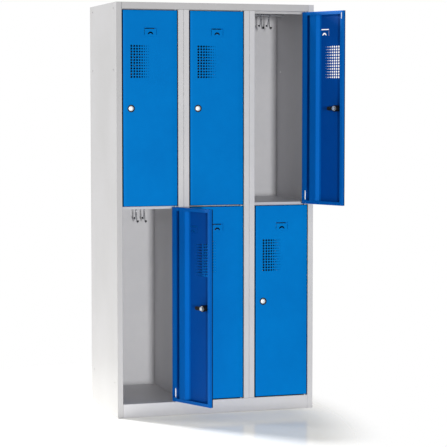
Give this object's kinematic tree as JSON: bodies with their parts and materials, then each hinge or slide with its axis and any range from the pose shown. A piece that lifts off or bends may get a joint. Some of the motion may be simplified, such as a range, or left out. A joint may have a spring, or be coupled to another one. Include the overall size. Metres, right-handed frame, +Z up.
{
  "type": "school locker",
  "caption": "Two-tier steel school locker with flush hinged doors, cam locks, vent holes and coat rails with sliding hooks.",
  "frame": {"origin": "on the floor, at the middle of the folded edge under the plinth, centred on the width", "axes": "+Z up, -Y out of the doors towards the user, +X to the right of a person facing the doors"},
  "size_m": [0.9709, 0.7128, 1.8],
  "materials": {
    "body_paint": "light grey powder coat, satin",
    "door_paint": "bright blue powder coat, satin",
    "lock_black": "black, satin",
    "lock_chrome": "polished",
    "rod_steel": "bright zinc plate",
    "rail_steel": "zinc plate",
    "hook_chrome": "bright wire"
  },
  "bodies": {
    "frame": {"side_panel_left": "body_paint", "side_panel_right": "body_paint", "partition_left": "body_paint", "partition_right": "body_paint", "post_strip_left": "body_paint", "post_strip_right": "body_paint", "back_panel": "body_paint", "top_panel": "body_paint", "floor_panel": "body_paint", "shelf_left": "body_paint", "shelf_middle": "body_paint", "shelf_right": "body_paint", "coat_rail_left_lower": "rail_steel", "coat_rail_left_upper": "rail_steel", "coat_rail_middle_lower": "rail_steel", "coat_rail_middle_upper": "rail_steel", "coat_rail_right_lower": "rail_steel", "coat_rail_right_upper": "rail_steel"},
    "door_left_lower": {"door_left_lower": "door_paint", "door_stiffener_left_lower": "door_paint", "hinge_rod_left_lower": "rod_steel", "lock_body_left_lower": "lock_black"},
    "lock_cam_left_lower": {"lock_cam_left_lower": "lock_chrome"},
    "coat_hook_a_left_lower": {"coat_hook_a_left_lower": "hook_chrome"},
    "coat_hook_b_left_lower": {"coat_hook_b_left_lower": "hook_chrome"},
    "door_left_upper": {"door_left_upper": "door_paint", "door_stiffener_left_upper": "door_paint", "hinge_rod_left_upper": "rod_steel", "lock_body_left_upper": "lock_black"},
    "lock_cam_left_upper": {"lock_cam_left_upper": "lock_chrome"},
    "coat_hook_a_left_upper": {"coat_hook_a_left_upper": "hook_chrome"},
    "coat_hook_b_left_upper": {"coat_hook_b_left_upper": "hook_chrome"},
    "door_middle_lower": {"door_middle_lower": "door_paint", "door_stiffener_middle_lower": "door_paint", "hinge_rod_middle_lower": "rod_steel", "lock_body_middle_lower": "lock_black"},
    "lock_cam_middle_lower": {"lock_cam_middle_lower": "lock_chrome"},
    "coat_hook_a_middle_lower": {"coat_hook_a_middle_lower": "hook_chrome"},
    "coat_hook_b_middle_lower": {"coat_hook_b_middle_lower": "hook_chrome"},
    "door_middle_upper": {"door_middle_upper": "door_paint", "door_stiffener_middle_upper": "door_paint", "hinge_rod_middle_upper": "rod_steel", "lock_body_middle_upper": "lock_black"},
    "lock_cam_middle_upper": {"lock_cam_middle_upper": "lock_chrome"},
    "coat_hook_a_middle_upper": {"coat_hook_a_middle_upper": "hook_chrome"},
    "coat_hook_b_middle_upper": {"coat_hook_b_middle_upper": "hook_chrome"},
    "door_right_lower": {"door_right_lower": "door_paint", "door_stiffener_right_lower": "door_paint", "hinge_rod_right_lower": "rod_steel", "lock_body_right_lower": "lock_black"},
    "lock_cam_right_lower": {"lock_cam_right_lower": "lock_chrome"},
    "coat_hook_a_right_lower": {"coat_hook_a_right_lower": "hook_chrome"},
    "coat_hook_b_right_lower": {"coat_hook_b_right_lower": "hook_chrome"},
    "door_right_upper": {"door_right_upper": "door_paint", "door_stiffener_right_upper": "door_paint", "hinge_rod_right_upper": "rod_steel", "lock_body_right_upper": "lock_black"},
    "lock_cam_right_upper": {"lock_cam_right_upper": "lock_chrome"},
    "coat_hook_a_right_upper": {"coat_hook_a_right_upper": "hook_chrome"},
    "coat_hook_b_right_upper": {"coat_hook_b_right_upper": "hook_chrome"}
  },
  "joints": [
    {"name": "door_hinge_left_lower", "type": "hinge", "parent": "frame", "child": "door_left_lower", "pos_m": [-0.187, -0.0025, 0.48925], "axis": [0, 0, 1], "range_deg": [-116, 4]},
    {"name": "cam_turn_left_lower", "type": "hinge", "parent": "door_left_lower", "child": "lock_cam_left_lower", "pos_m": [-0.09571, -0.17827, 0.48925], "axis": [-0.8988, -0.4384, 0], "range_deg": [0, 180]},
    {"name": "hook_slide_a_left_lower", "type": "slide", "parent": "frame", "child": "coat_hook_a_left_lower", "axis": [1, 0, 0], "range_m": [-0.165, 0.012]},
    {"name": "hook_slide_b_left_lower", "type": "slide", "parent": "frame", "child": "coat_hook_b_left_lower", "axis": [1, 0, 0], "range_m": [-0.012, 0.05]},
    {"name": "door_hinge_left_upper", "type": "hinge", "parent": "frame", "child": "door_left_upper", "pos_m": [-0.187, -0.0025, 1.34375], "axis": [0, 0, 1], "range_deg": [0, 120]},
    {"name": "cam_turn_left_upper", "type": "hinge", "parent": "door_left_upper", "child": "lock_cam_left_upper", "pos_m": [-0.385, -0.0075, 1.34375], "axis": [0, 1, 0], "range_deg": [0, 180]},
    {"name": "hook_slide_a_left_upper", "type": "slide", "parent": "frame", "child": "coat_hook_a_left_upper", "axis": [1, 0, 0], "range_m": [-0.165, 0.012]},
    {"name": "hook_slide_b_left_upper", "type": "slide", "parent": "frame", "child": "coat_hook_b_left_upper", "axis": [1, 0, 0], "range_m": [-0.012, 0.05]},
    {"name": "door_hinge_middle_lower", "type": "hinge", "parent": "frame", "child": "door_middle_lower", "pos_m": [0.113, -0.0025, 0.48925], "axis": [0, 0, 1], "range_deg": [0, 120]},
    {"name": "cam_turn_middle_lower", "type": "hinge", "parent": "door_middle_lower", "child": "lock_cam_middle_lower", "pos_m": [-0.085, -0.0075, 0.48925], "axis": [0, 1, 0], "range_deg": [0, 180]},
    {"name": "hook_slide_a_middle_lower", "type": "slide", "parent": "frame", "child": "coat_hook_a_middle_lower", "axis": [1, 0, 0], "range_m": [-0.165, 0.012]},
    {"name": "hook_slide_b_middle_lower", "type": "slide", "parent": "frame", "child": "coat_hook_b_middle_lower", "axis": [1, 0, 0], "range_m": [-0.012, 0.05]},
    {"name": "door_hinge_middle_upper", "type": "hinge", "parent": "frame", "child": "door_middle_upper", "pos_m": [0.113, -0.0025, 1.34375], "axis": [0, 0, 1], "range_deg": [0, 120]},
    {"name": "cam_turn_middle_upper", "type": "hinge", "parent": "door_middle_upper", "child": "lock_cam_middle_upper", "pos_m": [-0.085, -0.0075, 1.34375], "axis": [0, 1, 0], "range_deg": [0, 180]},
    {"name": "hook_slide_a_middle_upper", "type": "slide", "parent": "frame", "child": "coat_hook_a_middle_upper", "axis": [1, 0, 0], "range_m": [-0.165, 0.012]},
    {"name": "hook_slide_b_middle_upper", "type": "slide", "parent": "frame", "child": "coat_hook_b_middle_upper", "axis": [1, 0, 0], "range_m": [-0.012, 0.05]},
    {"name": "door_hinge_right_lower", "type": "hinge", "parent": "frame", "child": "door_right_lower", "pos_m": [0.413, -0.0025, 0.48925], "axis": [0, 0, 1], "range_deg": [0, 120]},
    {"name": "cam_turn_right_lower", "type": "hinge", "parent": "door_right_lower", "child": "lock_cam_right_lower", "pos_m": [0.215, -0.0075, 0.48925], "axis": [0, 1, 0], "range_deg": [0, 180]},
    {"name": "hook_slide_a_right_lower", "type": "slide", "parent": "frame", "child": "coat_hook_a_right_lower", "axis": [1, 0, 0], "range_m": [-0.165, 0.012]},
    {"name": "hook_slide_b_right_lower", "type": "slide", "parent": "frame", "child": "coat_hook_b_right_lower", "axis": [1, 0, 0], "range_m": [-0.012, 0.05]},
    {"name": "door_hinge_right_upper", "type": "hinge", "parent": "frame", "child": "door_right_upper", "pos_m": [0.413, -0.0025, 1.34375], "axis": [0, 0, 1], "range_deg": [-116, 4]},
    {"name": "cam_turn_right_upper", "type": "hinge", "parent": "door_right_upper", "child": "lock_cam_right_upper", "pos_m": [0.50429, -0.17827, 1.34375], "axis": [-0.8988, -0.4384, 0], "range_deg": [0, 180]},
    {"name": "hook_slide_a_right_upper", "type": "slide", "parent": "frame", "child": "coat_hook_a_right_upper", "axis": [1, 0, 0], "range_m": [-0.165, 0.012]},
    {"name": "hook_slide_b_right_upper", "type": "slide", "parent": "frame", "child": "coat_hook_b_right_upper", "axis": [1, 0, 0], "range_m": [-0.012, 0.05]}
  ]
}
